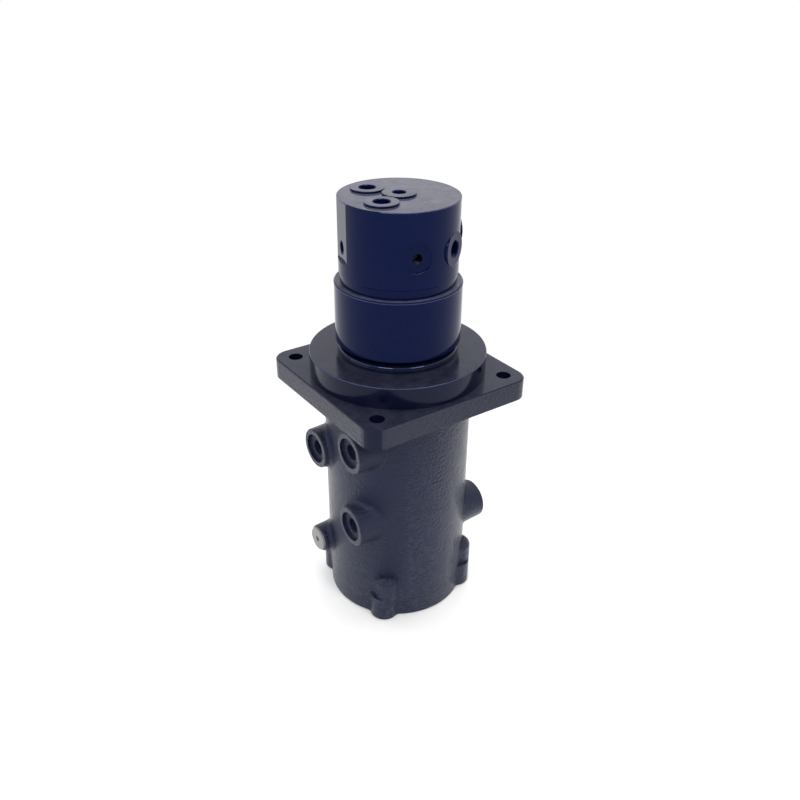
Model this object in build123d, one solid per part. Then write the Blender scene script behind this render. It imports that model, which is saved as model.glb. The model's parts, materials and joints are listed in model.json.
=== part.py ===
from build123d import *
import os
from math import cos, radians, sin

# Hydraulic rotary union (centre swivel joint) with six oil channels and a centre drain.
# A cast housing with a square flange carries the outer ports. The stem turns inside it and
# carries the inner ports in its head. Millimetres, +Z up along the turning axis, and the
# origin at the centre of the face that the union stands on.

# The two sizes that the rest follows
shaft_diameter = 90.0
flange_side = 182.0

# Fits and clearances
running_clearance = 0.05     # radial, stem in the housing bore and in the slipper rings
seat_clearance = 0.05        # radial, a ring or plug in its seat
screw_clearance = 0.05       # radial, a thread's outline in its tapped hole
thrust_play = 0.1            # axial, at each thrust washer
ring_side_play = 0.2         # axial, each side of a seal in its groove
overcut = 1.0                # a cut runs past the face that it opens

# Housing casting
barrel_wall = 27.0           # shaft to the barrel's outside
barrel_fillet = 7.0
channel_count = 6
channel_pitch = 28.5         # between neighbouring oil channels
channel_foot = 32.5          # housing's lower face to the lowest channel
channel_head = 36.0          # highest channel to the flange's underside

# Mounting flange with its locating pad
flange_corner_radius = 16.0
flange_thickness = 20.0
flange_edge = 1.2
flange_hole_inset = 18.5     # flange's side to the hole centres
flange_hole_diameter = 14.0
pad_inset = 6.0              # flange's side to the pad
pad_height = 21.0
pad_edge = 1.0

# Port bosses on the housing
port_boss_rise = 6.0         # barrel's outside to the boss faces
port_column_offset = 32.0    # port axes to the middle plane
port_boss_diameter = 41.0
port_boss_edge = 1.8
port_boss_draft = 2.0        # degrees
port_boss_fillet = 5.0
port_recess_diameter = 30.0
port_recess_depth = 3.0
plug_boss_diameter = 29.0
plug_recess_depth = 1.6
plug_recess_clearance = 0.1  # radial

# Port threads, drawn as plain holes of their minor diameter
large_thread_diameter = 15.0
large_thread_depth = 17.0
medium_thread_diameter = 11.8
medium_thread_depth = 16.0
pilot_thread_diameter = 8.8
pilot_thread_depth = 12.0
port_chamfer = 0.8
passage_diameter = 10.0      # along the stem
cross_passage_diameter = 8.0 # across, from a port or an oil groove
pilot_passage_diameter = 6.0
pilot_cross_diameter = 5.0

# Seals between the channels, held in grooves in the bore
seal_groove_width = 8.0
seal_groove_depth = 6.5
slipper_thickness = 2.8
oil_groove_width = 12.0
oil_groove_depth = 4.0

# Dust seal in the pad
dust_seal_width = 12.5
dust_seal_depth = 8.0
dust_seal_rise = 6.5
dust_seal_edge = 2.0
dust_lip_thickness = 3.0
dust_lip_edge = 1.0

# Stem
shaft_chamfer = 1.5
collar_gap = 11.0            # pad to the collar's underside
collar_overhang = 14.5       # past the shaft
collar_length = 59.0
collar_edge = 1.5
relief_overhang = 9.0
relief_length = 8.6
head_overhang = 10.0
head_length = 69.0
head_edge = 0.8

# Ports in the stem's head
passage_count = 8            # places for passages round the stem
passage_inset = 13.0         # shaft's outside to the passages' axes
passage_phase = -17.5        # degrees from +X to the first place, at rest
port_ring_diameter = 31.0
side_ring_rise = 0.2
top_ring_rise = 2.0
port_ring_edge = 0.6
pilot_flat_diameter = 26.0
pilot_flat_depth = 1.8
milled_flat_depth = 2.4
milled_flat_height = 13.0    # head's lower edge to the flat's ledge

# Retainer plate and thrust washers below the stem
retainer_overhang = 8.0      # past the shaft
retainer_thickness = 8.0
retainer_hole_diameter = 14.0
thrust_washer_thickness = 2.4
thrust_washer_gap = 1.0      # radial, shaft to washer
retainer_screw_count = 3
retainer_screw_circle = 17.5
retainer_screw_diameter = 8.0
retainer_screw_length = 24.0
retainer_head_diameter = 15.5
retainer_socket_size = 5.0
passage_plug_diameter = 12.0
passage_plug_length = 8.0

# Bottom cover, held by four lugs
cover_setback = 1.0          # barrel's outside to the cover's
cover_thickness = 27.0
cover_edge = 1.5
cover_pocket_clearance = 1.0
sump_inset = 7.0             # shaft's outside to the sump's wall
sump_depth = 5.0
lug_count = 4
lug_phase = 46.0             # degrees from +X to the first cover bolt
housing_lug_shift = 1.5      # cast lugs stand a little off their bolts, either way
cover_lug_shift = -1.5
lug_inset = 5.0              # barrel's outside to the centre of a housing lug
lug_radius = 13.5
lug_height = 25.0
lug_crown = 7.0
lug_blend = 6.0
cover_lug_inset = 6.0
cover_lug_radius = 14.5
cover_bolt_inset = 6.0       # barrel's outside to the bolts' axes
cover_bolt_diameter = 8.0
cover_bolt_grip = 18.0       # thread's length in the housing lug
cover_thread_runout = 2.0
cover_bolt_hole = 9.0
cover_head_diameter = 13.0
cover_head_height = 8.0
cover_head_recess = 1.0      # bolt head below the standing face
cover_head_clearance = 0.8
cover_socket_size = 6.0
spring_washer_thickness = 2.0
spring_washer_slit = 1.5
spring_washer_gap = 0.3      # radial, bolt to washer
screw_edge = 0.8
cover_ring_thickness = 2.1
cover_ring_land = 4.6        # pocket's wall to the middle of the ring
cover_ring_play = 0.6

# Screw plug in the unused port
plug_collar_diameter = 25.0
plug_collar_thickness = 3.0
plug_collar_edge = 0.6
plug_shank_length = 11.0
plug_socket_size = 6.0
plug_socket_depth = 5.0
plug_washer_thickness = 1.0

# Radii and widths that follow from the sizes above
shaft_radius = shaft_diameter / 2
bore_radius = shaft_radius + running_clearance
slipper_outer = shaft_radius + slipper_thickness
barrel_radius = shaft_radius + barrel_wall
pad_diameter = flange_side - 2 * pad_inset
flange_hole_spacing = flange_side - 2 * flange_hole_inset
port_face_offset = barrel_radius + port_boss_rise
dust_seal_outer = shaft_radius + dust_seal_width
collar_radius = shaft_radius + collar_overhang
relief_radius = shaft_radius + relief_overhang
head_radius = shaft_radius + head_overhang
passage_circle = shaft_radius - passage_inset
side_seat_root = (head_radius**2 - (port_ring_diameter / 2) ** 2) ** 0.5
retainer_radius = shaft_radius + retainer_overhang
pocket_radius = retainer_radius + cover_pocket_clearance
cover_ring_radius = pocket_radius + cover_ring_land
cover_bolt_circle = barrel_radius - cover_bolt_inset
bore_entry = (bore_radius**2 - port_column_offset**2) ** 0.5 - cross_passage_diameter / 2

# Heights that follow
housing_foot = cover_thickness
channel_bottom = housing_foot + channel_foot
flange_bottom = channel_bottom + (channel_count - 1) * channel_pitch + channel_head
flange_top = flange_bottom + flange_thickness
pad_top = flange_top + pad_height
collar_bottom = pad_top + collar_gap
collar_top = collar_bottom + collar_length
head_bottom = collar_top + relief_length
head_top = head_bottom + head_length
retainer_top = housing_foot - thrust_play - thrust_washer_thickness
retainer_bottom = retainer_top - retainer_thickness
pocket_floor = retainer_bottom - thrust_play - thrust_washer_thickness
cover_seat = cover_head_recess + cover_head_height + spring_washer_thickness

# Each channel's boss: level from the top, side along X, column along Y
open_ports = [(1, -1, -1), (2, -1, 1), (3, 1, 1), (4, -1, -1), (5, 1, -1)]
plugged_port = (6, -1, 1)

# Each channel's place round the stem. Where it comes out of the head's side, the last
# number is the height over the head's lower edge.
top_passages = [(1, 3), (2, 5)]
flat_passage = (3, 4, 25.5)
ring_passages = [(4, 7, 28.5), (5, 0, 34.5)]
pilot_passage = (6, 6, 28.0)
side_passages = [flat_passage] + ring_passages + [pilot_passage]


def channel_z(level):
    return channel_bottom + (channel_count - level) * channel_pitch


def seal_heights():
    """Middle of each seal groove, from the top, one more than the channels."""
    top = channel_z(1) + channel_pitch / 2
    return [top - i * channel_pitch for i in range(channel_count + 1)]


def lug_angle(i):
    return lug_phase + i * 360 / lug_count


def retainer_angle(i):
    return i * 360 / retainer_screw_count


def recess_of(level):
    """Diameter and depth of the seal face sunk into a channel's boss."""
    if level == plugged_port[0]:
        return plug_collar_diameter + 2 * plug_recess_clearance, plug_recess_depth
    return port_recess_diameter, port_recess_depth


def passage_angle(place):
    return passage_phase + place * 360 / passage_count


def around(radius, angle, z=0.0):
    return Pos(radius * cos(radians(angle)), radius * sin(radians(angle)), z)


def turned(points):
    """Solid of revolution about Z from (radius, height) corners."""
    return revolve(make_face(Polyline(*[(r, 0, z) for r, z in points], close=True)), Axis.Z)


def rod(radius, z_low, z_high):
    upright = (Align.CENTER, Align.CENTER, Align.MIN)
    return Pos(0, 0, z_low) * Cylinder(radius, z_high - z_low, align=upright)


def ring(outer, inner, z_low, z_high):
    return rod(outer, z_low, z_high) - rod(inner, z_low, z_high)


def hexagon_socket(size, z_low, z_high):
    """Hexagon of the given width across flats, along Z."""
    return Pos(0, 0, z_low) * extrude(RegularPolygon(size / 2, 6, major_radius=False), z_high - z_low)


def port_frame(side, column, z):
    """Local frame on a boss face, with Z pointing out of the port."""
    origin = (side * port_face_offset, column * port_column_offset, z)
    return Location(Plane(origin=origin, x_dir=(0, side, 0), z_dir=(side, 0, 0)))


def radial_frame(angle, radius, z):
    """Local frame at a radius of the stem, with Z pointing outwards."""
    direction = (cos(radians(angle)), sin(radians(angle)), 0)
    origin = (radius * direction[0], radius * direction[1], z)
    return Location(Plane(origin=origin, x_dir=(0, 0, -1), z_dir=direction))


def tapped_hole(diameter, depth, drill_diameter, drill_depth):
    """Tool for a port, down from Z = 0: mouth chamfer, thread, drill point and drilling."""
    thread_radius = diameter / 2
    drill_radius = drill_diameter / 2
    mouth = thread_radius + port_chamfer
    step = depth + (thread_radius - drill_radius) / 2
    profile = [
        (0, overcut), (mouth, overcut), (mouth, 0), (thread_radius, -port_chamfer),
        (thread_radius, -depth), (drill_radius, -step), (drill_radius, -drill_depth),
        (0, -drill_depth - drill_radius / 2),
    ]
    return turned(profile)


# ---- Housing ----

def boss_blank(side, column, z, diameter):
    """Drafted boss from its face back into the barrel wall."""
    length = port_face_offset - port_column_offset
    blank = extrude(Circle(diameter / 2), -length, taper=-port_boss_draft)
    rim = blank.edges().filter_by(GeomType.CIRCLE).group_by(Axis.Z)[-1]
    return port_frame(side, column, z) * fillet(rim, port_boss_edge)


def lug_plan(disc_radius, lug_centre, radius, shift):
    """Round body with its lugs, blended where they meet."""
    outline = Circle(disc_radius)
    for i in range(lug_count):
        outline += around(lug_centre, lug_angle(i) + shift) * Circle(radius)
    corners = [v for v in outline.vertices() if abs((v.X**2 + v.Y**2) ** 0.5 - disc_radius) < 0.01]
    return fillet(corners, lug_blend)


def make_housing():
    body = rod(barrel_radius, housing_foot, flange_bottom)
    for level, side, column in open_ports:
        body += boss_blank(side, column, channel_z(level), port_boss_diameter)
    level, side, column = plugged_port
    body += boss_blank(side, column, channel_z(level), plug_boss_diameter)
    roots = [e for e in body.edges() if e.geom_type in (GeomType.BSPLINE, GeomType.OTHER)]
    body = fillet(roots, port_boss_fillet)

    plate = extrude(RectangleRounded(flange_side, flange_side, flange_corner_radius), flange_thickness)
    plate = chamfer(plate.faces().sort_by(Axis.Z)[-1].edges(), flange_edge)
    body += Pos(0, 0, flange_bottom) * plate
    pad = rod(pad_diameter / 2, flange_top, pad_top)
    body += chamfer(pad.edges().group_by(Axis.Z)[-1], pad_edge)
    under = [
        e for e in body.edges().filter_by(GeomType.CIRCLE)
        if abs(e.radius - barrel_radius) < 0.01 and abs(e.center().Z - flange_bottom) < 0.01
    ]
    body = fillet(under, barrel_fillet)

    plan = lug_plan(barrel_radius, barrel_radius - lug_inset, lug_radius, housing_lug_shift)
    lugs = extrude(plan, lug_height)
    lugs = fillet(lugs.edges().group_by(Axis.Z)[-1], lug_crown)
    body += Pos(0, 0, housing_foot) * lugs

    # Bore, seal grooves and the dust seal's seat
    body -= rod(bore_radius, housing_foot - overcut, pad_top + overcut)
    for z in seal_heights():
        low = z - seal_groove_width / 2
        outer = bore_radius + seal_groove_depth
        body -= ring(outer, bore_radius - overcut, low, low + seal_groove_width)
    body -= rod(dust_seal_outer + seat_clearance, pad_top - dust_seal_depth, pad_top + overcut)

    # Ports, with their recessed seal faces
    for level, side, column in open_ports + [plugged_port]:
        frame = port_frame(side, column, channel_z(level))
        recess_diameter, recess_depth = recess_of(level)
        body -= frame * rod(recess_diameter / 2, -recess_depth, overcut)
        reach = port_face_offset - recess_depth - bore_entry
        drilling = tapped_hole(large_thread_diameter, large_thread_depth, cross_passage_diameter, reach)
        body -= frame * Pos(0, 0, -recess_depth) * drilling

    for x in (-1, 1):
        for y in (-1, 1):
            hole = rod(flange_hole_diameter / 2, flange_bottom - overcut, flange_top + overcut)
            body -= Pos(x * flange_hole_spacing / 2, y * flange_hole_spacing / 2, 0) * hole
    for i in range(lug_count):
        bottom = cover_bolt_grip + cover_thread_runout
        thread = rod(cover_bolt_diameter / 2 + screw_clearance, -overcut, bottom)
        body -= around(cover_bolt_circle, lug_angle(i), housing_foot) * thread
    return body


# ---- Bottom cover and its fasteners ----

def make_bottom_cover():
    outside = barrel_radius - cover_setback
    plan = lug_plan(outside, barrel_radius - cover_lug_inset, cover_lug_radius, cover_lug_shift)
    body = extrude(plan, cover_thickness)
    body = chamfer(body.faces().sort_by(Axis.Z)[0].edges(), cover_edge)
    top = cover_thickness + overcut
    body -= rod(pocket_radius, pocket_floor, top)
    body -= rod(shaft_radius - sump_inset, pocket_floor - sump_depth, pocket_floor + overcut)
    half = cover_ring_thickness / 2 + cover_ring_play
    floor = cover_thickness - cover_ring_thickness
    body -= ring(cover_ring_radius + half, cover_ring_radius - half, floor, top)
    for i in range(lug_count):
        place = around(cover_bolt_circle, lug_angle(i))
        body -= place * rod(cover_bolt_hole / 2, -overcut, top)
        body -= place * rod(cover_head_diameter / 2 + cover_head_clearance, -overcut, cover_seat)
    return body


def make_cover_ring():
    half = cover_ring_thickness / 2
    return Pos(0, 0, cover_thickness - half) * Torus(cover_ring_radius, half - seat_clearance)


def socket_screw(diameter, grip, head_diameter, head_height, socket_size):
    """Cap screw pointing up, with the underside of its head at Z = 0."""
    shank = rod(diameter / 2, 0, grip)
    head = rod(head_diameter / 2, -head_height, 0)
    head = chamfer(head.edges().group_by(Axis.Z)[0], screw_edge)
    shank = chamfer(shank.edges().group_by(Axis.Z)[-1], screw_edge)
    return head + shank - hexagon_socket(socket_size, -head_height - overcut, -head_height / 2)


def make_cover_bolts():
    washer_seat = cover_seat - spring_washer_thickness
    grip = housing_foot + cover_bolt_grip - washer_seat
    bolt = socket_screw(
        cover_bolt_diameter, grip, cover_head_diameter, cover_head_height, cover_socket_size
    )
    return Compound([
        around(cover_bolt_circle, lug_angle(i), washer_seat) * bolt for i in range(lug_count)
    ])


def make_cover_washers():
    inner = cover_bolt_diameter / 2 + spring_washer_gap
    washer = ring(cover_head_diameter / 2, inner, cover_seat - spring_washer_thickness, cover_seat)
    slit = Pos(cover_head_diameter / 2, 0, cover_seat) * Box(
        cover_head_diameter, spring_washer_slit, 3 * spring_washer_thickness
    )
    washer -= slit
    return Compound([
        around(cover_bolt_circle, lug_angle(i)) * Rot(0, 0, lug_angle(i)) * washer
        for i in range(lug_count)
    ])


# ---- Seals ----

def make_slipper_ring(z):
    half = seal_groove_width / 2 - ring_side_play
    return ring(slipper_outer, bore_radius, z - half, z + half)


def make_energizer(z):
    half = seal_groove_width / 2 - ring_side_play
    outer = bore_radius + seal_groove_depth - seat_clearance
    return ring(outer, slipper_outer + seat_clearance, z - half, z + half)


def make_dust_seal():
    """Metal-cased wiper: pressed into the pad, with its lip on the shaft above it."""
    outer = dust_seal_outer
    inner = bore_radius
    foot = pad_top - dust_seal_depth
    top = pad_top + dust_seal_rise
    lip = inner + dust_lip_thickness
    half = dust_seal_rise / 2
    relieved = inner + dust_lip_edge
    profile = [
        (relieved, foot), (outer, foot), (outer, top), (lip + dust_lip_edge, top), (lip, top - half),
        (relieved, top), (inner, top - half / 2), (relieved, pad_top),
    ]
    seal = turned(profile)
    shoulder = [e for e in seal.edges().filter_by(GeomType.CIRCLE) if e.center().Z > pad_top]
    return fillet(max(shoulder, key=lambda e: e.radius), dust_seal_edge)


def make_port_plug():
    level, side, column = plugged_port
    collar = rod(plug_collar_diameter / 2, 0, plug_collar_thickness)
    collar = chamfer(collar.edges().group_by(Axis.Z)[-1], plug_collar_edge)
    shank = rod(large_thread_diameter / 2 - screw_clearance, -plug_shank_length, 0)
    plug = collar + chamfer(shank.edges().group_by(Axis.Z)[0], port_chamfer)
    plug -= hexagon_socket(
        plug_socket_size, plug_collar_thickness - plug_socket_depth, plug_collar_thickness + overcut
    )
    rise = plug_washer_thickness - plug_recess_depth
    return port_frame(side, column, channel_z(level)) * Pos(0, 0, rise) * plug


def make_plug_washer():
    level, side, column = plugged_port
    inner = large_thread_diameter / 2 + port_chamfer
    washer = ring(plug_collar_diameter / 2, inner, 0, plug_washer_thickness)
    return port_frame(side, column, channel_z(level)) * Pos(0, 0, -plug_recess_depth) * washer


# ---- Stem ----

def make_stem():
    shaft = shaft_radius
    collar = collar_radius
    head = head_radius
    profile = [
        (0, retainer_top), (shaft - shaft_chamfer, retainer_top), (shaft, retainer_top + shaft_chamfer),
        (shaft, collar_bottom), (collar - collar_edge, collar_bottom),
        (collar, collar_bottom + collar_edge), (collar, collar_top - collar_edge),
        (collar - collar_edge, collar_top), (relief_radius, collar_top), (relief_radius, head_bottom),
        (head - head_edge, head_bottom), (head, head_bottom + head_edge),
        (head, head_top - head_edge), (head - head_edge, head_top), (0, head_top),
    ]
    body = turned(profile)

    # Raised seats round the ports
    for level, place in top_passages:
        body += around(passage_circle, passage_angle(place), head_top) * port_seat(top_ring_rise)
    body += Pos(0, 0, head_top) * port_seat(top_ring_rise)
    for level, place, height in ring_passages:
        frame = radial_frame(passage_angle(place), side_seat_root, head_bottom + height)
        body += frame * port_seat(head + side_ring_rise - side_seat_root)
    level, place, height = pilot_passage
    frame = radial_frame(passage_angle(place), head - pilot_flat_depth, head_bottom + height)
    body -= frame * rod(pilot_flat_diameter / 2, 0, 2 * pilot_flat_depth)
    level, place, height = flat_passage
    ledge = head_bottom + milled_flat_height
    slab = Box(head, 2 * head, head_length, align=(Align.MIN, Align.CENTER, Align.MIN))
    body -= Rot(0, 0, passage_angle(place)) * Pos(head - milled_flat_depth, 0, ledge) * slab

    # Oil grooves and the passages that join them to the ports
    for level in range(1, channel_count + 1):
        low = channel_z(level) - oil_groove_width / 2
        body -= ring(shaft + overcut, shaft - oil_groove_depth, low, low + oil_groove_width)
    for level, place in top_passages:
        body -= cross_passage(level, place, cross_passage_diameter)
        reach = head_top + top_ring_rise - channel_z(level)
        drilling = tapped_hole(large_thread_diameter, large_thread_depth, passage_diameter, reach)
        body -= around(passage_circle, passage_angle(place), head_top + top_ring_rise) * drilling
    for level, place, height in side_passages:
        face = head + side_ring_rise
        thread = (large_thread_diameter, large_thread_depth)
        cross = cross_passage_diameter
        riser = passage_diameter
        if place == flat_passage[1]:
            face = head - milled_flat_depth
            thread = (medium_thread_diameter, medium_thread_depth)
        elif place == pilot_passage[1]:
            face = head - pilot_flat_depth
            thread = (pilot_thread_diameter, pilot_thread_depth)
            cross = pilot_cross_diameter
            riser = pilot_passage_diameter
        drilling = tapped_hole(*thread, cross, face - passage_circle)
        body -= cross_passage(level, place, cross)
        body -= radial_frame(passage_angle(place), face, head_bottom + height) * drilling
        body -= rising_passage(place, riser, head_bottom + height)
    top_face = head_top + top_ring_rise
    reach = top_face - retainer_top + pilot_passage_diameter
    drain = tapped_hole(medium_thread_diameter, medium_thread_depth, pilot_passage_diameter, reach)
    body -= Pos(0, 0, top_face) * drain

    for i in range(retainer_screw_count):
        thread = rod(retainer_screw_diameter / 2 + screw_clearance, -overcut, retainer_screw_length)
        body -= around(retainer_screw_circle, retainer_angle(i), retainer_top) * thread
    return body


def port_seat(rise):
    """Raised ring round a port, with an eased rim."""
    seat = rod(port_ring_diameter / 2, 0, rise)
    return fillet(seat.edges().group_by(Axis.Z)[-1], port_ring_edge)


def cross_passage(level, place, bore):
    """Drilling inwards from a channel's oil groove to its passage."""
    frame = radial_frame(passage_angle(place), passage_circle, channel_z(level))
    return frame * rod(bore / 2, 0, shaft_radius)


def rising_passage(place, bore, port_z):
    """Drilling up from the stem's lower end to a side port, with the seat of its plug."""
    mouth = retainer_top - overcut
    drilling = rod(bore / 2, mouth, port_z + bore)
    seat = rod(passage_plug_diameter / 2 + seat_clearance, mouth, retainer_top + passage_plug_length)
    return around(passage_circle, passage_angle(place)) * (drilling + seat)


def make_passage_plugs():
    plug = rod(passage_plug_diameter / 2, retainer_top, retainer_top + passage_plug_length)
    plug = chamfer(plug.edges(), head_edge)
    return Compound([
        around(passage_circle, passage_angle(place)) * plug for level, place, height in side_passages
    ])


def make_retainer_plate():
    plate = rod(retainer_radius, retainer_bottom, retainer_top)
    plate = chamfer(plate.edges(), head_edge)
    plate -= rod(retainer_hole_diameter / 2, retainer_bottom - overcut, retainer_top + overcut)
    for i in range(retainer_screw_count):
        hole = turned(countersink_profile(screw_clearance + seat_clearance))
        plate -= around(retainer_screw_circle, retainer_angle(i), retainer_bottom) * hole
    return plate


def countersink_profile(gap):
    """Outline of a countersunk screw's head and shank, grown by a gap."""
    head = retainer_head_diameter / 2
    shank = retainer_screw_diameter / 2
    return [
        (0, 0), (head + gap, 0), (shank + gap, head - shank), (shank + gap, retainer_thickness),
        (0, retainer_thickness)
    ]


def make_retainer_screws():
    head = retainer_head_diameter / 2
    shank = retainer_screw_diameter / 2
    tip = retainer_screw_length - head_edge
    profile = [(0, 0), (head, 0), (shank, head - shank), (shank, tip), (shank - head_edge, tip + head_edge)]
    screw = turned(profile + [(0, tip + head_edge)])
    screw -= hexagon_socket(retainer_socket_size, -overcut, retainer_socket_size / 2)
    return Compound([
        around(retainer_screw_circle, retainer_angle(i), retainer_bottom) * screw
        for i in range(retainer_screw_count)
    ])


def make_thrust_washer(z_low):
    inner = shaft_radius + thrust_washer_gap
    return ring(retainer_radius, inner, z_low, z_low + thrust_washer_thickness)


nodes = {
    "housing": make_housing(),
    "bottom_cover": make_bottom_cover(),
    "cover_bolts": make_cover_bolts(),
    "cover_spring_washers": make_cover_washers(),
    "cover_seal_ring": make_cover_ring(),
    "dust_seal": make_dust_seal(),
    "port_plug": make_port_plug(),
    "port_plug_washer": make_plug_washer(),
    "stem": make_stem(),
    "passage_plugs": make_passage_plugs(),
    "retainer_plate": make_retainer_plate(),
    "retainer_screws": make_retainer_screws(),
    "upper_thrust_washer": make_thrust_washer(retainer_top),
    "lower_thrust_washer": make_thrust_washer(pocket_floor),
}
for number, height in enumerate(seal_heights(), 1):
    nodes[f"slipper_ring_{number}"] = make_slipper_ring(height)
    nodes[f"energizer_ring_{number}"] = make_energizer(height)

os.makedirs("parts", exist_ok=True)
for name, shape in nodes.items():
    export_step(shape, f"parts/{name}.step")
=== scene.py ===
# Hydraulic rotary union: painted casting, turned stem, threads and a plain studio
import bpy
import json
from math import cos, pi, radians, sin
from mathutils import Matrix, Vector


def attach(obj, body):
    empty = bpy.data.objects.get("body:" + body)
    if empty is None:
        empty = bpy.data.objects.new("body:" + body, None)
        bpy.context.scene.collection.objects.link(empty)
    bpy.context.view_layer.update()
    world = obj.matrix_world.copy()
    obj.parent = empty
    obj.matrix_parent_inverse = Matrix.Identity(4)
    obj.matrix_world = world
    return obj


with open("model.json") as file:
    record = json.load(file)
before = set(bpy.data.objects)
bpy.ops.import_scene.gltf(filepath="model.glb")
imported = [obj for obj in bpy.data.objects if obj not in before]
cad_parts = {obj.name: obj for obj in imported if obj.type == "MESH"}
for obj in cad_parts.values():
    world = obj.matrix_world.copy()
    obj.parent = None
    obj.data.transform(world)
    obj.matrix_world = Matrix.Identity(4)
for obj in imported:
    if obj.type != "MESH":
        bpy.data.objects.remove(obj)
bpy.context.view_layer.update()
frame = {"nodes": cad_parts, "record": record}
print("frame loaded")

mergeReach = 0.000001  # points nearer than this become one
smoothAngle = 40  # edges sharper than this stay sharp


def clearSelection():
    if bpy.context.object and bpy.context.object.mode != "OBJECT":
        bpy.ops.object.mode_set(mode="OBJECT")
    bpy.ops.object.select_all(action="DESELECT")


def applyPlace():
    bpy.ops.object.transform_apply(location=True, rotation=True, scale=True)


def editAll():
    bpy.ops.object.mode_set(mode="EDIT")
    bpy.ops.mesh.select_all(action="SELECT")


def applyModifier(piece, kind, settings):
    modifier = piece.modifiers.new(kind.title(), kind)
    for name, value in settings.items():
        setattr(modifier, name, value)
    bpy.context.view_layer.objects.active = piece
    bpy.ops.object.modifier_apply(modifier=modifier.name)


def addNode(tree, kind, place, values=None):
    # a value is a plain one or another node's output, for the input of its name or number
    node = tree.nodes.new(kind)
    node.location = place
    for name, value in (values or {}).items():
        if isinstance(value, bpy.types.NodeSocket):
            tree.links.new(value, node.inputs[name])
        elif name in node.inputs:
            node.inputs[name].default_value = value
        else:
            setattr(node, name, value)
    return node


def addMath(tree, place, operation, *sources):
    node = addNode(tree, "ShaderNodeMath", place, {"operation": operation})
    for socket, source in zip(node.inputs, sources):
        if isinstance(source, bpy.types.NodeSocket):
            tree.links.new(source, socket)
        else:
            socket.default_value = source
    return node.outputs[0]


def addRange(tree, place, source, fromRange, toRange=(0.0, 1.0), kind="LINEAR"):
    node = addNode(tree, "ShaderNodeMapRange", place, {
        "interpolation_type": kind, "Value": source, "From Min": fromRange[0],
        "From Max": fromRange[1], "To Min": toRange[0], "To Max": toRange[1],
    })
    return node.outputs[0]


def mixColours(tree, place, factor, first, second):
    # a Mix node has inputs for several kinds of value, and only its colours are used
    node = addNode(tree, "ShaderNodeMix", place, {"data_type": "RGBA", "Factor": factor})
    slots = [socket for socket in node.inputs if socket.type == "RGBA"]
    for socket, source in zip(slots, (first, second)):
        if isinstance(source, bpy.types.NodeSocket):
            tree.links.new(source, socket)
        else:
            socket.default_value = (*source, 1.0)
    return [socket for socket in node.outputs if socket.type == "RGBA"][0]


def startGroup(name, inputs, outputs):
    group = bpy.data.node_groups.new(name, "ShaderNodeTree")
    for way, labels in (("INPUT", inputs), ("OUTPUT", outputs)):
        for label in labels:
            group.interface.new_socket(name=label, in_out=way, socket_type="NodeSocketFloat")
    given = addNode(group, "NodeGroupInput", (-900, -200)).outputs
    result = addNode(group, "NodeGroupOutput", (700, 0)).inputs
    place = addNode(group, "ShaderNodeTexCoord", (-900, 200)).outputs["Object"]
    return group, given, result, place


grainNoise = {
    "lumps": {"Detail": 3.0, "Roughness": 0.55},
    "peel": {"Detail": 2.0, "Roughness": 0.5},
    "slow": {"Scale": 22.0, "Detail": 5.0, "Roughness": 0.6},
}


def buildPaintGrain():
    # lumps of the casting, orange peel of the paint, and slow patches for colour
    group, given, result, place = startGroup(
        "paintGrain", ["Lump Scale", "Lump Amount", "Peel Scale", "Peel Amount"],
        ["Height", "Patches"],
    )
    lumps = addNode(group, "ShaderNodeTexNoise", (-600, 200), {
        "Vector": place, "Scale": given["Lump Scale"], **grainNoise["lumps"],
    })
    peel = addNode(group, "ShaderNodeTexNoise", (-600, -100), {
        "Vector": place, "Scale": given["Peel Scale"], **grainNoise["peel"],
    })
    slow = addNode(group, "ShaderNodeTexNoise", (-600, -400), {
        "Vector": place, **grainNoise["slow"],
    })
    lumpPart = addMath(group, (-250, 200), "MULTIPLY", lumps.outputs[0], given["Lump Amount"])
    peelPart = addMath(group, (-250, -100), "MULTIPLY", peel.outputs[0], given["Peel Amount"])
    height = addMath(group, (100, 50), "ADD", lumpPart, peelPart)
    group.links.new(height, result["Height"])
    group.links.new(slow.outputs[0], result["Patches"])
    return group


# how sharp an edge has to be, and which part of the noise leaves bare spots
wearMask = {
    "edges": (0.52, 0.62), "noise": {"Scale": 260.0, "Detail": 4.0}, "spots": (0.42, 0.62),
}


def buildEdgeWear():
    # thin paint on raised edges, broken up by a fine noise
    group, given, result, place = startGroup("edgeWear", ["Amount"], ["Mask"])
    shape = addNode(group, "ShaderNodeNewGeometry", (-900, 0)).outputs
    broken = addNode(group, "ShaderNodeTexNoise", (-600, 250), {
        "Vector": place, **wearMask["noise"],
    })
    edge = addRange(group, (-600, 0), shape["Pointiness"], wearMask["edges"])
    spots = addRange(group, (-350, 250), broken.outputs[0], wearMask["spots"])
    joined = addMath(group, (-50, 100), "MULTIPLY", edge, spots)
    scaled = addMath(group, (250, 0), "MULTIPLY", joined, given["Amount"])
    group.links.new(scaled, result["Mask"])
    return group


# how far a face looks up before dust lies on it, and how uneven the dust is
dustMask = {
    "upward": (0.75, 1.0), "noise": {"Scale": 90.0, "Detail": 6.0, "Roughness": 0.65},
    "patches": (0.3, 0.7), "thinToFull": (0.35, 1.0),
}


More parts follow.
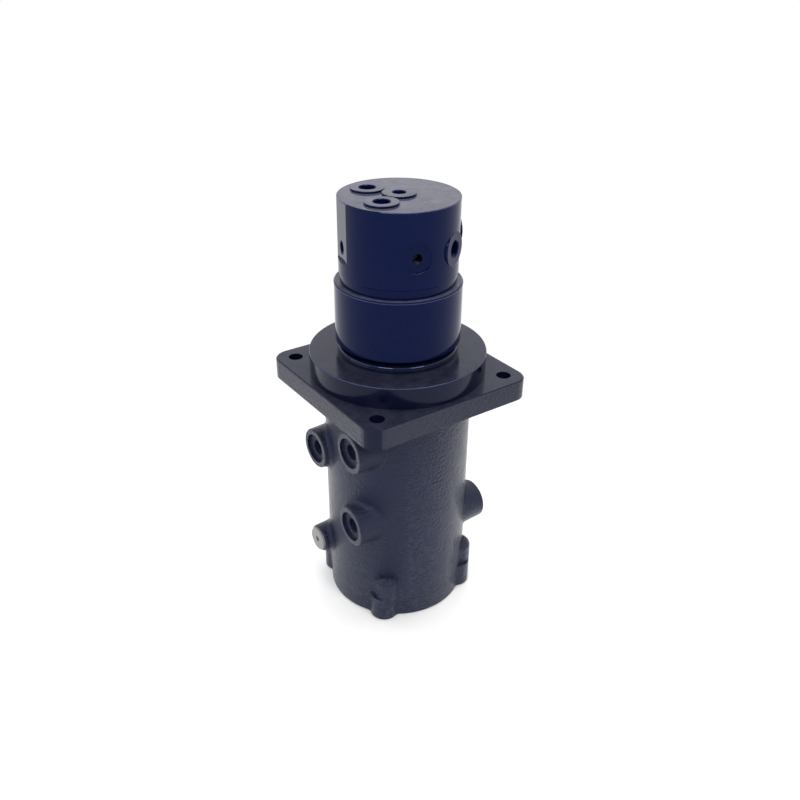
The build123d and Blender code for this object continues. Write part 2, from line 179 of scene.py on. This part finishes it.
def buildDustFilm():
    # thin uneven dust on faces that look up
    group, given, result, place = startGroup("dustFilm", ["Amount"], ["Mask"])
    shape = addNode(group, "ShaderNodeNewGeometry", (-900, 0)).outputs
    axes = addNode(group, "ShaderNodeSeparateXYZ", (-700, 0), {"Vector": shape["Normal"]}).outputs
    cloud = addNode(group, "ShaderNodeTexNoise", (-700, 250), {
        "Vector": place, **dustMask["noise"],
    })
    upward = addRange(group, (-450, 0), axes["Z"], dustMask["upward"])
    patchy = addRange(
        group, (-450, 250), cloud.outputs[0], dustMask["patches"], dustMask["thinToFull"]
    )
    joined = addMath(group, (-150, 100), "MULTIPLY", upward, patchy)
    scaled = addMath(group, (150, 0), "MULTIPLY", joined, given["Amount"])
    group.links.new(scaled, result["Mask"])
    return group


paintGrain = buildPaintGrain()
edgeWear = buildEdgeWear()
dustFilm = buildDustFilm()
patchSpread = (0.3, 0.7)  # the part of the slow noise that is used
print("shader groups built")


def addMachining(tree, look, height, paint):
    # faces above smoothAbove are turned smooth, and the flange's four sides are sawn
    place = addNode(tree, "ShaderNodeTexCoord", (-900, -500)).outputs["Object"]
    axes = addNode(tree, "ShaderNodeSeparateXYZ", (-700, -500), {"Vector": place}).outputs
    fadeRange = (look["smoothAbove"] - look["smoothFade"], look["smoothAbove"] + look["smoothFade"])
    asCast = addRange(tree, (-500, -500), axes["Z"], fadeRange, (1.0, look["smoothShare"]))
    wide = addMath(tree, (-500, -750), "ABSOLUTE", axes["X"])
    deep = addMath(tree, (-500, -900), "ABSOLUTE", axes["Y"])
    furthest = addMath(tree, (-330, -800), "MAXIMUM", wide, deep)
    onEdge = addMath(tree, (-180, -800), "GREATER_THAN", furthest, look["flangeEdge"])
    edgeGrain = addMath(tree, (-30, -800), "MULTIPLY", onEdge, look["edgeShare"])
    share = addMath(tree, (100, -600), "MAXIMUM", asCast, edgeGrain)
    lessened = addMath(tree, (250, -450), "MULTIPLY", height, share)
    turned = mixColours(tree, (100, 900), asCast, look["machinedColour"], paint)
    return lessened, mixColours(tree, (250, 700), onEdge, turned, look["edgeColour"])


def makeFinish(name, look):
    # one node tree for paint, metal, rubber and plastic, set by its dictionary
    material = bpy.data.materials.new(name)
    material.use_nodes = True
    tree = material.node_tree
    tree.nodes.clear()
    grain = addNode(tree, "ShaderNodeGroup", (-500, -200), {
        "node_tree": paintGrain, "Lump Scale": look["lumpScale"], "Lump Amount": look["lumpAmount"],
        "Peel Scale": look["peelScale"], "Peel Amount": look["peelAmount"],
    }).outputs
    wear = addNode(tree, "ShaderNodeGroup", (-500, 200), {
        "node_tree": edgeWear, "Amount": look["wear"],
    }).outputs
    dust = addNode(tree, "ShaderNodeGroup", (250, 500), {
        "node_tree": dustFilm, "Amount": look["dust"],
    }).outputs
    patches = addRange(tree, (-250, 0), grain["Patches"], patchSpread)
    paint = mixColours(tree, (0, 200), patches, look["colour"], look["patchColour"])
    paint = mixColours(tree, (250, 250), wear["Mask"], paint, look["wornColour"])
    height = grain["Height"]
    if "smoothAbove" in look:
        height, paint = addMachining(tree, look, height, paint)
    paint = mixColours(tree, (430, 350), dust["Mask"], paint, look["dustColour"])
    rough = addRange(tree, (250, -50), grain["Patches"], patchSpread, look["rough"])
    bump = addNode(tree, "ShaderNodeBump", (420, -300), {
        "Strength": look["bump"], "Distance": look["bumpDepth"], "Height": height,
    })
    shader = addNode(tree, "ShaderNodeBsdfPrincipled", (600, 0), {
        "Base Color": paint, "Metallic": look["metallic"], "Roughness": rough, "IOR": look["ior"],
        "Specular Tint": (*look["tint"], 1.0), "Normal": bump.outputs["Normal"],
    })
    addNode(tree, "ShaderNodeOutputMaterial", (900, 0), {"Surface": shader.outputs[0]})
    return material


castPaint = {
    "colour": (0.0065, 0.0085, 0.028), "patchColour": (0.011, 0.0135, 0.035),
    "wornColour": (0.06, 0.07, 0.12), "machinedColour": (0.003, 0.004, 0.017),
    "metallic": 0.0, "ior": 1.35, "tint": (0.68, 0.76, 1.0), "rough": (0.1, 0.18), "wear": 0.35,
    "lumpScale": 380.0, "lumpAmount": 1.0, "peelScale": 900.0, "peelAmount": 0.55,
    "bump": 1.0, "bumpDepth": 0.0013,
    "smoothAbove": 0.2365, "smoothFade": 0.001, "smoothShare": 0.04,  # from just under the flange up
    "flangeEdge": 0.0904, "edgeShare": 0.5, "edgeColour": (0.018, 0.02, 0.034),
    "dust": 0.3, "dustColour": (0.06, 0.062, 0.075),
}
stemPaint = {
    "colour": (0.0012, 0.0036, 0.03), "patchColour": (0.0015, 0.0041, 0.032),
    "wornColour": (0.04, 0.05, 0.1),
    "metallic": 0.0, "ior": 1.28, "tint": (0.42, 0.54, 1.0), "rough": (0.04, 0.07), "wear": 0.04,
    "lumpScale": 60.0, "lumpAmount": 0.3, "peelScale": 420.0, "peelAmount": 0.15,
    "bump": 0.35, "bumpDepth": 0.0002, "dust": 0.7, "dustColour": (0.11, 0.11, 0.13),
}
sealPaint = {
    **stemPaint, "colour": (0.003, 0.004, 0.014), "patchColour": (0.004, 0.005, 0.018),
    "ior": 1.5, "rough": (0.03, 0.05), "dust": 0.0,
}
plugPaint = {
    **stemPaint, "colour": (0.24, 0.24, 0.23), "patchColour": (0.32, 0.32, 0.3),
    "wornColour": (0.45, 0.45, 0.43), "rough": (0.35, 0.5),
}
# near black, for the seam wire: painted shade in the joint
seamShade = {
    **stemPaint, "colour": (0.002, 0.002, 0.003), "patchColour": (0.004, 0.004, 0.005),
    "wornColour": (0.01, 0.01, 0.01), "rough": (0.5, 0.7),
}
# darker and less blue than the stem paint, on the threads and the pilot's mouth ring: painted shade in
# and around the bores
boreShadePaint = {
    **stemPaint, "colour": (0.003, 0.004, 0.009), "patchColour": (0.006, 0.007, 0.014),
    "wornColour": (0.01, 0.01, 0.016), "ior": 1.2, "rough": (0.5, 0.6),
}
# lighter blue for the rim wires: a painted highlight along the turned edges
paintedRimHighlight = {
    **stemPaint, "colour": (0.03, 0.034, 0.09), "patchColour": (0.04, 0.045, 0.11),
    "rough": (0.1, 0.18),
}
blackSteel = {
    "colour": (0.14, 0.14, 0.15), "patchColour": (0.22, 0.22, 0.23), "wornColour": (0.5, 0.5, 0.5),
    "metallic": 1.0, "ior": 1.5, "tint": (1.0, 1.0, 1.0), "rough": (0.3, 0.45), "wear": 0.6,
    "lumpScale": 300.0, "lumpAmount": 0.4, "peelScale": 1500.0, "peelAmount": 0.5,
    "bump": 0.4, "bumpDepth": 0.0002, "dust": 0.0, "dustColour": (0.2, 0.2, 0.22),
}
groundSteel = {
    **blackSteel, "colour": (0.5, 0.5, 0.52), "patchColour": (0.42, 0.42, 0.44),
    "rough": (0.18, 0.3),
}
bronze = {
    **blackSteel, "colour": (0.55, 0.36, 0.14), "patchColour": (0.46, 0.29, 0.11),
    "wornColour": (0.8, 0.6, 0.3),
}
copper = {
    **blackSteel, "colour": (0.6, 0.3, 0.2), "patchColour": (0.45, 0.2, 0.13),
    "wornColour": (0.8, 0.5, 0.4),
}
rubber = {
    **blackSteel, "colour": (0.012, 0.012, 0.012), "patchColour": (0.02, 0.02, 0.02),
    "wornColour": (0.05, 0.05, 0.05), "metallic": 0.0, "rough": (0.55, 0.7), "wear": 0.2,
}
slipperPlastic = {
    **blackSteel, "colour": (0.12, 0.08, 0.05), "patchColour": (0.15, 0.1, 0.06),
    "wornColour": (0.25, 0.2, 0.15), "metallic": 0.0, "rough": (0.35, 0.5), "wear": 0.3,
}

looks = {
    "seamShade": seamShade, "boreShadePaint": boreShadePaint, "paintedRimHighlight": paintedRimHighlight,
    "castPaint": castPaint, "stemPaint": stemPaint, "sealPaint": sealPaint,
    "plugPaint": plugPaint, "blackSteel": blackSteel, "groundSteel": groundSteel,
    "bronze": bronze, "copper": copper, "rubber": rubber, "slipperPlastic": slipperPlastic,
}
finishes = {name: makeFinish(name, look) for name, look in looks.items()}
print("finishes made")

nodeFinish = {
    "housing": "castPaint", "bottom_cover": "castPaint", "stem": "stemPaint",
    "dust_seal": "sealPaint", "port_plug": "plugPaint", "port_plug_washer": "copper",
    "cover_bolts": "blackSteel", "cover_spring_washers": "blackSteel",
    "cover_seal_ring": "rubber", "passage_plugs": "blackSteel",
    "retainer_plate": "groundSteel", "retainer_screws": "blackSteel",
    "upper_thrust_washer": "bronze", "lower_thrust_washer": "bronze",
}
for name, piece in frame["nodes"].items():
    if name.startswith("slipper"):
        finish = "slipperPlastic"
    elif name.startswith("energizer"):
        finish = "rubber"
    else:
        finish = nodeFinish[name]
    piece.data.materials.clear()
    piece.data.materials.append(finishes[finish])
print("nodes painted")


def settle(piece, name, finish, body):
    # shading, material and the body that the piece moves with
    clearSelection()
    piece.select_set(True)
    bpy.context.view_layer.objects.active = piece
    applyPlace()
    editAll()
    bpy.ops.mesh.remove_doubles(threshold=mergeReach)
    bpy.ops.mesh.normals_make_consistent(inside=False)
    bpy.ops.object.mode_set(mode="OBJECT")
    bpy.ops.object.shade_smooth_by_angle(angle=radians(smoothAngle))
    piece.name = name
    piece.data.name = name
    piece.data.materials.clear()
    piece.data.materials.append(finishes[finish])
    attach(piece, body)


mounts = {mount["name"]: mount for mount in frame["record"]["mounts"]}


def boreOf(mountName):
    # middle, outward axis, radius and length of a port's bore, in metres
    mount = mounts[mountName]
    size = mount["dims"]
    return Vector(mount["pos_m"]), Vector(mount["axis"]), size["r_mm"] / 1000, size["length_mm"] / 1000


def standAlong(piece, middle, axis):
    piece.rotation_mode = "QUATERNION"
    piece.rotation_quaternion = axis.to_track_quat("Z", "Y")
    piece.location = middle


thread = {"toothShare": 0.42, "intoBore": 0.0004, "steps": 40, "mouthGap": 0.0006}


def makeThread(mountName, pitch, body):
    # one tooth, turned along a helix inside the port
    middle, axis, radius, length = boreOf(mountName)
    turns = int((length - 2 * pitch) / pitch)
    deepEnd = length / 2 - thread["mouthGap"] - pitch * turns - pitch / 2
    clearSelection()
    bpy.ops.mesh.primitive_circle_add(
        vertices=3, radius=pitch * thread["toothShare"], fill_type="NGON"
    )
    tooth = bpy.context.object
    tooth.rotation_euler = (pi / 2, 0, 0)
    applyPlace()
    tooth.rotation_euler = (0, pi / 2, 0)
    tooth.location = (radius + thread["intoBore"], 0, deepEnd)
    applyPlace()
    editAll()
    bpy.ops.mesh.delete(type="ONLY_FACE")
    bpy.ops.object.mode_set(mode="OBJECT")
    applyModifier(tooth, "SCREW", {
        "axis": "Z", "screw_offset": pitch, "iterations": turns,
        "steps": thread["steps"], "render_steps": thread["steps"], "use_merge_vertices": False,
    })
    editAll()
    bpy.ops.mesh.fill_holes(sides=4)  # close both ends
    bpy.ops.object.mode_set(mode="OBJECT")
    standAlong(tooth, middle, axis)
    settle(tooth, "thread_" + mountName, "boreShadePaint", body)


# radii of the ridges, thickness of their wire, and how far out from the bore's end it lies
turnedFace = {"rings": (0.0098, 0.0121, 0.0138), "wire": 0.00022, "out": 0.00055}
pilotMouth = {"rings": (0.0049,), "wire": 0.0006, "out": 0.0004}
ridgeSteps = {"round": 64, "across": 8}


def makeRidges(mountName, look, finish, body):
    # round ridges about a port's mouth
    middle, axis, _, length = boreOf(mountName)
    for count, radius in enumerate(look["rings"]):
        clearSelection()
        bpy.ops.mesh.primitive_torus_add(
            major_radius=radius, minor_radius=look["wire"],
            major_segments=ridgeSteps["round"], minor_segments=ridgeSteps["across"],
        )
        ridge = bpy.context.object
        standAlong(ridge, middle + axis * (length / 2 + look["out"]), axis)
        settle(ridge, mountName + "_ridge_" + str(count + 1), finish, body)


widePitch = 0.001337  # 19 threads to the inch
finePitch = 0.000907  # 28 threads to the inch
housingPort = {
    "pitch": widePitch, "ridges": turnedFace, "finish": "castPaint", "body": "housing_assembly",
}
headPort = {**housingPort, "finish": "stemPaint", "body": "stem_assembly"}
ports = {
    "housing_port_1": housingPort, "housing_port_2": housingPort, "housing_port_3": housingPort,
    "housing_port_4": housingPort, "housing_port_5": housingPort,
    "stem_port_top_a": headPort, "stem_port_top_b": headPort,
    "stem_port_side_b": headPort, "stem_port_side_c": headPort, "stem_port_centre": headPort,
    "stem_port_side_a": {**headPort, "ridges": None},  # in the milled flat
    "stem_port_pilot": {
        **headPort, "pitch": finePitch, "ridges": pilotMouth, "finish": "boreShadePaint",
    },
}
for portName, port in ports.items():
    makeThread(portName, port["pitch"], port["body"])
    if port["ridges"]:
        makeRidges(portName, port["ridges"], port["finish"], port["body"])
print("threads and ridges made")


def sweepWire(name, wire):
    # a thin wire swept about the turning axis
    # known fault: the spin turns clockwise from above, so an open wire runs back from "from"
    sides = wire.get("sides", 8)
    clearSelection()
    bpy.ops.mesh.primitive_circle_add(vertices=sides, radius=wire["thick"], fill_type="NOTHING")
    line = bpy.context.object
    line.scale = (wire.get("stretch", 1.0), 1.0, 1.0)
    line.rotation_euler = (0, 0, radians(wire.get("lean", 0.0)))
    applyPlace()
    start = radians(wire["from"])
    line.rotation_euler = (pi / 2, 0, start)
    line.location = (wire["radius"] * cos(start), wire["radius"] * sin(start), wire["height"])
    applyPlace()
    editAll()
    bpy.ops.mesh.spin(
        steps=wire["steps"], angle=radians(wire["to"] - wire["from"]),
        center=(0, 0, wire["height"]), axis=(0, 0, 1),
    )
    bpy.ops.mesh.select_all(action="SELECT")
    bpy.ops.mesh.remove_doubles(threshold=mergeReach)
    bpy.ops.mesh.fill_holes(sides=sides)
    bpy.ops.object.mode_set(mode="OBJECT")
    settle(line, name, wire["finish"], wire["body"])


wires = {
    # a near-black wire in the open joint between the casting and its cover: painted shade in the gap
    "cover_seam": {
        "radius": 0.0716, "height": 0.027, "thick": 0.00055, "from": 148.0, "to": 197.0,
        "steps": 60, "finish": "seamShade", "body": "housing_assembly",
    },
    # thin wires on the turned edges, in a lighter blue than the stem paint: a painted highlight line
    # along each rim
    "head_rim_bead": {
        "radius": 0.0545, "height": 0.4261, "thick": 0.0005, "from": 181.5, "to": 504.5,
        "steps": 160, "finish": "paintedRimHighlight", "body": "stem_assembly",
    },
    "collar_top_bead": {
        "radius": 0.0579, "height": 0.3488, "thick": 0.00035, "from": 0, "to": 360,
        "steps": 160, "finish": "paintedRimHighlight", "body": "stem_assembly",
    },
    "collar_side_bead": {
        "radius": 0.0593, "height": 0.3474, "thick": 0.00035, "from": 0, "to": 360,
        "steps": 160, "finish": "paintedRimHighlight", "body": "stem_assembly",
    },
    "seal_shoulder_film": {
        "radius": 0.0558, "height": 0.2836, "thick": 0.0009, "stretch": 3.0, "lean": -50.0,
        "from": 0, "to": 360, "steps": 200, "sides": 24,
        "finish": "sealPaint", "body": "housing_assembly",
    },
    "pad_rim_bead": {
        "radius": 0.0844, "height": 0.2784, "thick": 0.00045, "from": 0, "to": 360,
        "steps": 200, "finish": "paintedRimHighlight", "body": "housing_assembly",
    },
}
for wireName, wire in wires.items():
    sweepWire(wireName, wire)
print("seam and beads made")


studio = {
    "floorSize": 12.0, "floorGap": 0.0005, "floorShade": 0.75, "floorBoost": 0.2,
    "whiteFrom": 0.22, "whiteTo": 0.5,  # distances at which the floor fades to white
    "skyFront": 0.1, "skyBack": 1.5, "skyBackWay": (0.575, 0.818, 0.0), "skySpread": (-0.4, 0.5),
    "lampAim": (0, 0, 0.22),
    "lamps": {
        "topLight": {"place": (0.2, 0.1, 1.9), "size": (1.2, 1.2), "watts": 18.0},
        "leftLamp": {"place": (-1.22, -0.72, 1.4), "size": (0.7, 0.5), "watts": 14.0},
        "rightLamp": {"place": (0.12, -1.42, 1.4), "size": (0.7, 0.5), "watts": 14.0},
        "sideWall": {"place": (-1.5, 0.5, 0.55), "size": (1.2, 0.9), "watts": 4.0},
    },
}


def addSeenRays(tree):
    # 1 where the camera looks, straight or by way of metal or glass
    rays = addNode(tree, "ShaderNodeLightPath", (-100, 400)).outputs
    direct = addMath(tree, (100, 400), "MAXIMUM", rays["Is Camera Ray"], rays["Is Glossy Ray"])
    return addMath(tree, (300, 400), "MAXIMUM", direct, rays["Is Transmission Ray"])


def makeFloor():
    clearSelection()
    bpy.ops.mesh.primitive_plane_add(
        size=studio["floorSize"], location=(0, 0, -studio["floorGap"])
    )
    floor = bpy.context.object
    floor.name = "studioFloor"
    applyPlace()
    material = bpy.data.materials.new("floorPaper")
    material.use_nodes = True
    tree = material.node_tree
    tree.nodes.clear()
    shade = studio["floorShade"]
    paper = addNode(tree, "ShaderNodeBsdfDiffuse", (0, 100), {"Color": (shade, shade, shade, 1)})
    glow = addNode(tree, "ShaderNodeEmission", (0, -50), {"Strength": studio["floorBoost"]})
    white = addNode(tree, "ShaderNodeEmission", (200, -150), {"Strength": 1.0})
    near = addNode(tree, "ShaderNodeAddShader", (200, 0), {
        0: paper.outputs[0], 1: glow.outputs[0],
    })
    place = addNode(tree, "ShaderNodeTexCoord", (-950, 0)).outputs["Object"]
    reach = addNode(tree, "ShaderNodeVectorMath", (-750, 0), {"operation": "LENGTH", 0: place})
    far = addRange(
        tree, (-500, 0), reach.outputs["Value"], (studio["whiteFrom"], studio["whiteTo"]),
        kind="SMOOTHSTEP",
    )
    seen = addNode(tree, "ShaderNodeMixShader", (450, 0), {
        0: far, 1: near.outputs[0], 2: white.outputs[0],
    })
    ends = addNode(tree, "ShaderNodeMixShader", (800, 0), {
        0: addSeenRays(tree), 1: paper.outputs[0], 2: seen.outputs[0],
    })
    addNode(tree, "ShaderNodeOutputMaterial", (1000, 0), {"Surface": ends.outputs[0]})
    floor.data.materials.append(material)


def makeSky():
    world = bpy.data.worlds.new("studioSky")
    bpy.context.scene.world = world
    world.use_nodes = True
    tree = world.node_tree
    tree.nodes.clear()
    place = addNode(tree, "ShaderNodeTexCoord", (-800, 0)).outputs["Generated"]
    split = addNode(tree, "ShaderNodeVectorMath", (-550, 0), {"operation": "DOT_PRODUCT", 0: place})
    split.inputs[1].default_value = studio["skyBackWay"]
    spread = addRange(
        tree, (-300, 0), split.outputs["Value"], studio["skySpread"],
        (studio["skyFront"], studio["skyBack"]), kind="SMOOTHSTEP",
    )
    plainWhite = (1.0, 1.0, 1.0, 1.0)
    soft = addNode(tree, "ShaderNodeBackground", (400, 0), {"Color": plainWhite, "Strength": spread})
    white = addNode(tree, "ShaderNodeBackground", (400, -200), {"Color": plainWhite, "Strength": 1.0})
    mix = addNode(tree, "ShaderNodeMixShader", (600, 0), {
        0: addSeenRays(tree), 1: soft.outputs[0], 2: white.outputs[0],
    })
    addNode(tree, "ShaderNodeOutputWorld", (800, 0), {"Surface": mix.outputs[0]})


def makeLamp(name, lamp):
    data = bpy.data.lights.new(name, "AREA")
    data.shape = "RECTANGLE"
    data.size, data.size_y = lamp["size"]
    data.energy = lamp["watts"]
    piece = bpy.data.objects.new(name, data)
    piece.location = lamp["place"]
    aim = Vector(studio["lampAim"]) - Vector(lamp["place"])
    piece.rotation_euler = aim.to_track_quat("-Z", "Y").to_euler()
    bpy.context.collection.objects.link(piece)
    piece.visible_camera = False


makeFloor()
makeSky()
for lampName, lamp in studio["lamps"].items():
    makeLamp(lampName, lamp)

view = {
    "place": (-0.4175, -0.5939, 0.6344), "turn": -35.31, "tilt": 60.26, "roll": 0.58,
    "lens": 37.8, "sensor": 36.0,
}
cameraData = bpy.data.cameras.new("viewCamera")
cameraData.lens = view["lens"]
cameraData.sensor_width = view["sensor"]
camera = bpy.data.objects.new("viewCamera", cameraData)
bpy.context.collection.objects.link(camera)
turn = Matrix.Rotation(radians(view["turn"]), 4, "Z") @ Matrix.Rotation(radians(view["tilt"]), 4, "X")
roll = Matrix.Rotation(radians(view["roll"]), 4, "Z")
camera.matrix_world = Matrix.Translation(view["place"]) @ turn @ roll
bpy.context.scene.camera = camera
bpy.context.scene.view_settings.view_transform = "Standard"
print("studio ready")
